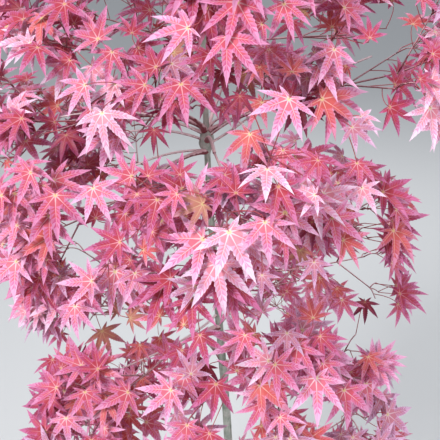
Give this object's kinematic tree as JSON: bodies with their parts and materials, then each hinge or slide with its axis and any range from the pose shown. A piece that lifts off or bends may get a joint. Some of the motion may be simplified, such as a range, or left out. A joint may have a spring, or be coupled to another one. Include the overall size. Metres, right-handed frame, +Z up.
{
  "type": "japanese maple tree",
  "caption": "Slender young tree with a flared foot, a knobby whorl, arching opposite boughs and masses of pink palmate leaves on fine twigs.",
  "frame": {"origin": "centre of the flat cut under the trunk, at ground level", "axes": "+Z up the trunk, -Y towards the side seen in the picture, +X to the viewer's right"},
  "size_m": [0.5505, 0.5293, 1.4505],
  "materials": {
    "trunk_bark": "smooth grey-green bark with faint lengthwise streaks, matt",
    "bough_bark": "thin crimson young bark with a pale pink bloom on the upper side, satin",
    "leaves": "thin soft pink to crimson leaf blades with paler veins, low sheen"
  },
  "bodies": {
    "root": {"leader_leaves": "leaves", "level10_a_bough": "bough_bark", "level10_a_leaves": "leaves", "level10_b_bough": "bough_bark", "level10_b_leaves": "leaves", "level11_a_bough": "bough_bark", "level11_a_leaves": "leaves", "level11_b_bough": "bough_bark", "level11_b_leaves": "leaves", "level1_a_bough": "bough_bark", "level1_a_leaves": "leaves", "level1_b_bough": "bough_bark", "level1_b_leaves": "leaves", "level2_a_bough": "bough_bark", "level2_a_leaves": "leaves", "level2_b_bough": "bough_bark", "level2_b_leaves": "leaves", "level3_a_bough": "bough_bark", "level3_a_leaves": "leaves", "level3_b_bough": "bough_bark", "level3_b_leaves": "leaves", "level4_a_bough": "bough_bark", "level4_a_leaves": "leaves", "level4_b_bough": "bough_bark", "level4_b_leaves": "leaves", "level5_a_bough": "bough_bark", "level5_a_leaves": "leaves", "level5_b_bough": "bough_bark", "level5_b_leaves": "leaves", "level6_a_bough": "bough_bark", "level6_a_leaves": "leaves", "level6_b_bough": "bough_bark", "level6_b_leaves": "leaves", "level7_a_bough": "bough_bark", "level7_a_leaves": "leaves", "level7_b_bough": "bough_bark", "level7_b_leaves": "leaves", "level8_a_bough": "bough_bark", "level8_a_leaves": "leaves", "level8_b_bough": "bough_bark", "level8_b_leaves": "leaves", "level9_a_bough": "bough_bark", "level9_a_leaves": "leaves", "level9_b_bough": "bough_bark", "level9_b_leaves": "leaves", "trunk": "trunk_bark", "whorl_1_bough": "bough_bark", "whorl_1_leaves": "leaves", "whorl_2_bough": "bough_bark", "whorl_2_leaves": "leaves", "whorl_3_bough": "bough_bark", "whorl_3_leaves": "leaves", "whorl_4_bough": "bough_bark", "whorl_4_leaves": "leaves", "whorl_5_bough": "bough_bark", "whorl_5_leaves": "leaves", "whorl_6_bough": "bough_bark", "whorl_6_leaves": "leaves"}
  },
  "joints": []
}
